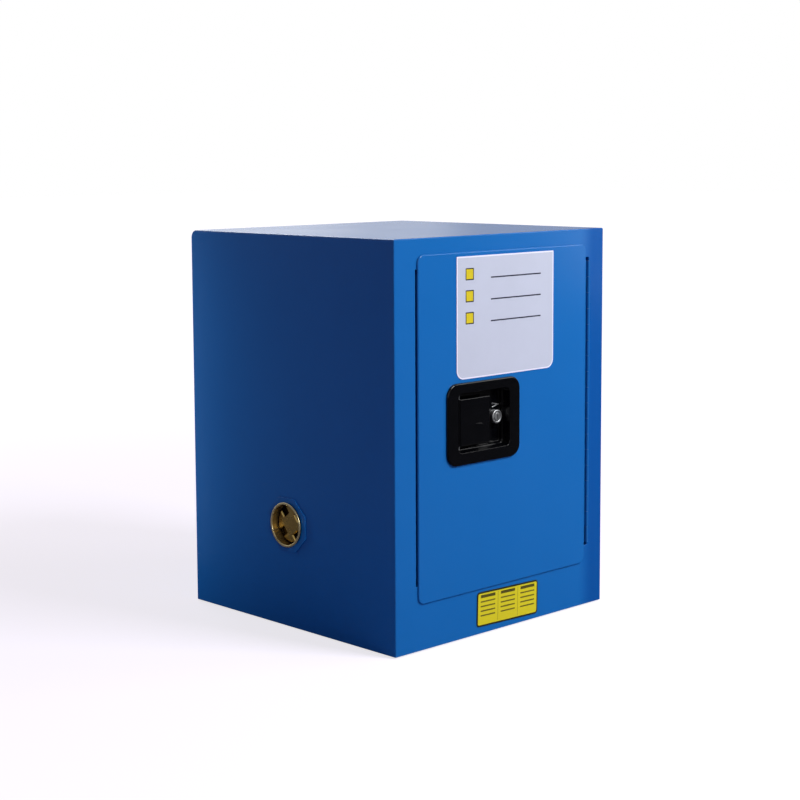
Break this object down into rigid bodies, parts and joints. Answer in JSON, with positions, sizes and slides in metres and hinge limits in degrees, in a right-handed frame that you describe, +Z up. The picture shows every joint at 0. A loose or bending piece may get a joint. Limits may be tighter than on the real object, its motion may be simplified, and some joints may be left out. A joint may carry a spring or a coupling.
{
  "type": "acid and alkali cabinet",
  "caption": "Countertop double-wall steel safety cabinet for acids and alkalis, with a piano-hinged door, recessed paddle latch with key lock, side vents and a shelf over a sump.",
  "frame": {"origin": "on the table under the middle of the steel box, level with the undersides of the feet", "axes": "+Z up; the door faces -Y; +X to the right of a person who faces the door"},
  "size_m": [0.4408, 0.4363, 0.56],
  "materials": {
    "blue_powder_coat": "semi-gloss powder coat",
    "painted_hinge": "semi-gloss powder coat over rolled steel",
    "zinc_plate": "bright zinc plate",
    "galvanised": "galvanised sheet",
    "black_casting": "black coating over zinc casting",
    "chrome_lock": "polished chrome plate",
    "yellow_passivate": "yellow passivated zinc plate",
    "nitrile": "moulded rubber",
    "wire_cloth": "woven stainless wire",
    "white_film": "coated film",
    "yellow_film": "coated film",
    "white_pe": "moulded polyethylene"
  },
  "bodies": {
    "cabinet": {"outer_wrap": "blue_powder_coat", "back_panel": "blue_powder_coat", "front_frame": "blue_powder_coat", "base_panel": "blue_powder_coat", "liner_wrap": "blue_powder_coat", "liner_top": "blue_powder_coat", "sump_pan": "blue_powder_coat", "hinge_frame_leaf": "painted_hinge", "hinge_pin": "zinc_plate", "form_plate": "yellow_film", "vent_flange_left": "blue_powder_coat", "vent_flange_right": "blue_powder_coat", "vent_tube_left": "zinc_plate", "vent_tube_right": "zinc_plate", "vent_screen_left": "wire_cloth", "vent_screen_right": "wire_cloth", "shelf_standard_1": "galvanised", "shelf_standard_2": "galvanised", "shelf_standard_3": "galvanised", "shelf_standard_4": "galvanised", "shelf_clip_1": "zinc_plate", "shelf_clip_2": "zinc_plate", "shelf_clip_3": "zinc_plate", "shelf_clip_4": "zinc_plate", "foot_nut_1": "zinc_plate", "foot_nut_2": "zinc_plate", "foot_nut_3": "zinc_plate", "foot_nut_4": "zinc_plate"},
    "door": {"door_skin": "blue_powder_coat", "door_inner_pan": "blue_powder_coat", "hinge_door_leaf": "painted_hinge", "sign_plate": "white_film", "latch_pan": "black_casting", "paddle_pin": "zinc_plate", "bolt_guide": "black_casting", "lock_barrel": "chrome_lock"},
    "paddle": {"paddle": "black_casting"},
    "bolt": {"latch_bolt": "zinc_plate"},
    "key_plug": {"lock_plug": "chrome_lock", "lock_cam": "zinc_plate"},
    "shelf": {"shelf": "galvanised"},
    "tray": {"shelf_tray": "white_pe"},
    "seal_left": {"vent_seal_left": "nitrile"},
    "cap_left": {"vent_cap_left": "yellow_passivate"},
    "seal_right": {"vent_seal_right": "nitrile"},
    "cap_right": {"vent_cap_right": "yellow_passivate"},
    "foot_1": {"levelling_foot_1": "zinc_plate"},
    "foot_2": {"levelling_foot_2": "zinc_plate"},
    "foot_3": {"levelling_foot_3": "zinc_plate"},
    "foot_4": {"levelling_foot_4": "zinc_plate"}
  },
  "joints": [
    {"name": "door_hinge", "type": "hinge", "parent": "cabinet", "child": "door", "pos_m": [0.1794, -0.2165, 0.3043], "axis": [0, 0, 1], "range_deg": [0, 175]},
    {"name": "paddle_pivot", "type": "hinge", "parent": "door", "child": "paddle", "pos_m": [-0.088, -0.211, 0.302], "axis": [0, 0, -1], "range_deg": [0, 28], "stiffness_Nm_per_rad": 0.2},
    {"name": "bolt_slide", "type": "slide", "parent": "door", "child": "bolt", "axis": [1, 0, 0], "range_m": [0, 0.0086]},
    {"name": "key_turn", "type": "hinge", "parent": "door", "child": "key_plug", "pos_m": [-0.0113, -0.212, 0.3044], "axis": [0, -1, 0], "range_deg": [-90, 0]},
    {"name": "shelf_lift", "type": "slide", "parent": "cabinet", "child": "shelf", "axis": [0, 0, 1], "range_m": [0, 0.1]},
    {"name": "tray_lift", "type": "slide", "parent": "shelf", "child": "tray", "axis": [0, 0, 1], "range_m": [0, 0.05]},
    {"name": "vent_left_out", "type": "slide", "parent": "cabinet", "child": "seal_left", "axis": [-1, 0, 0], "range_m": [0, 0.0137]},
    {"name": "vent_left_turn", "type": "hinge", "parent": "seal_left", "child": "cap_left", "pos_m": [-0.2171, 0.0023, 0.1494], "axis": [-1, 0, 0], "range_deg": [0, 2160]},
    {"name": "vent_right_out", "type": "slide", "parent": "cabinet", "child": "seal_right", "axis": [1, 0, 0], "range_m": [0, 0.0137]},
    {"name": "vent_right_turn", "type": "hinge", "parent": "seal_right", "child": "cap_right", "pos_m": [0.2171, 0.0023, 0.44], "axis": [1, 0, 0], "range_deg": [0, 2160]},
    {"name": "foot_1_screw", "type": "slide", "parent": "cabinet", "child": "foot_1", "axis": [0, 0, 1], "range_m": [-0.008, 0]},
    {"name": "foot_2_screw", "type": "slide", "parent": "cabinet", "child": "foot_2", "axis": [0, 0, 1], "range_m": [-0.008, 0]},
    {"name": "foot_3_screw", "type": "slide", "parent": "cabinet", "child": "foot_3", "axis": [0, 0, 1], "range_m": [-0.008, 0]},
    {"name": "foot_4_screw", "type": "slide", "parent": "cabinet", "child": "foot_4", "axis": [0, 0, 1], "range_m": [-0.008, 0]}
  ],
  "couplings": [
    {"joint": "bolt_slide", "follows": "paddle_pivot", "m_per_rad": 0.0173},
    {"joint": "vent_left_turn", "follows": "vent_left_out", "rad_per_m": 2732.2},
    {"joint": "vent_right_turn", "follows": "vent_right_out", "rad_per_m": 2732.2}
  ]
}
